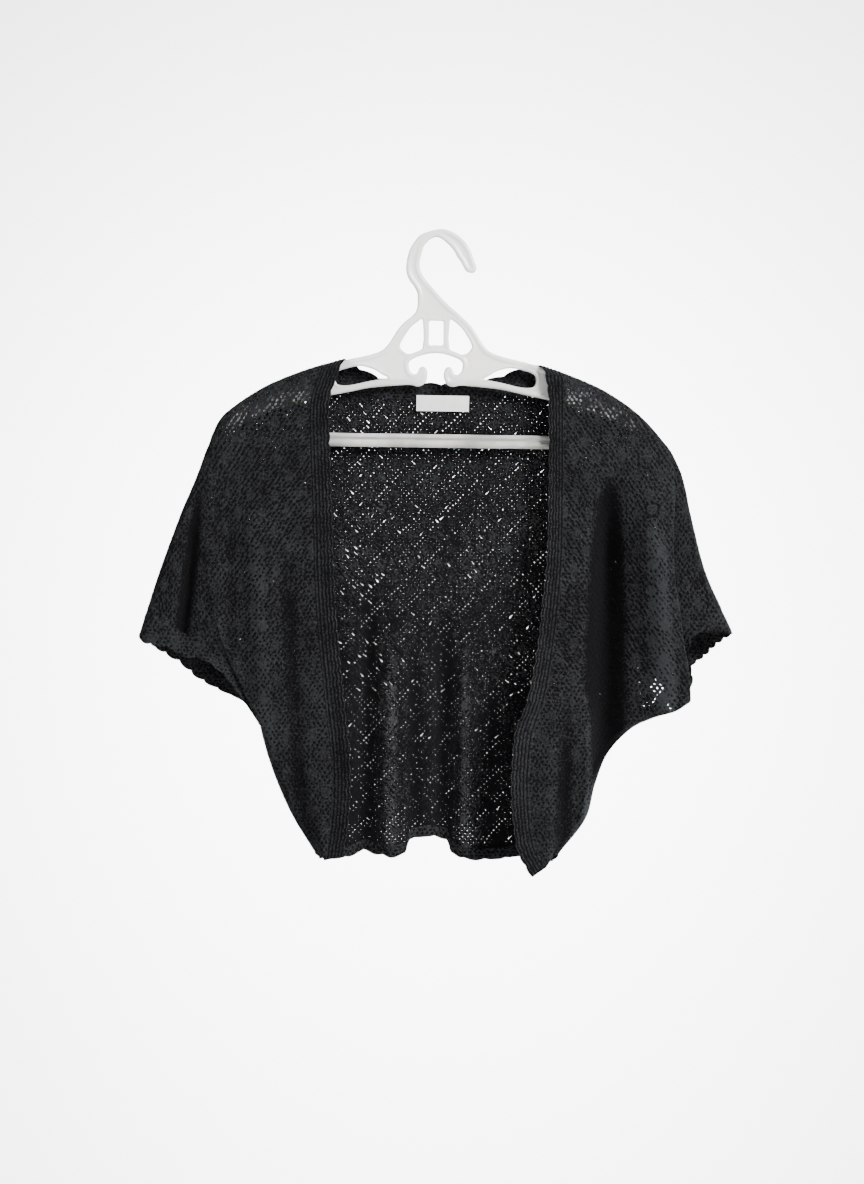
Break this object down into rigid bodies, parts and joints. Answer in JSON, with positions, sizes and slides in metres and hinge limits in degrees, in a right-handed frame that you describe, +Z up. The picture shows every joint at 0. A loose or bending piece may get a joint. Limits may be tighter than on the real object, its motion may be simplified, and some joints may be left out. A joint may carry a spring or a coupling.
{
  "type": "bolero on a hanger",
  "caption": "Short open-front bolero of fine openwork knit with ribbed bands, dropped sleeves and scalloped edges, hung on a moulded plastic hanger.",
  "frame": {"origin": "inner top of the hanger's hook, where a rail or peg carries it", "axes": "+X towards the viewer's right, which is the wearer's left; +Y towards the back; +Z up"},
  "size_m": [0.565, 0.0617, 0.6123],
  "materials": {
    "knit": "fine charcoal-black openwork knit, matt with a soft fuzz",
    "label": "plain white woven tape",
    "hanger_plastic": "moulded ivory plastic, half gloss, slightly translucent"
  },
  "bodies": {
    "root": {"back": "knit", "band_neck": "knit", "band_hem": "knit", "front_right": "knit", "front_left": "knit", "band_right": "knit", "band_left": "knit", "sleeve_right": "knit", "sleeve_left": "knit", "cuff_right": "knit", "cuff_left": "knit", "label": "label", "hanger_hook": "hanger_plastic", "hanger_middle": "hanger_plastic", "hanger_arm_left": "hanger_plastic", "hanger_arm_right": "hanger_plastic", "hanger_bar": "hanger_plastic"}
  },
  "joints": []
}
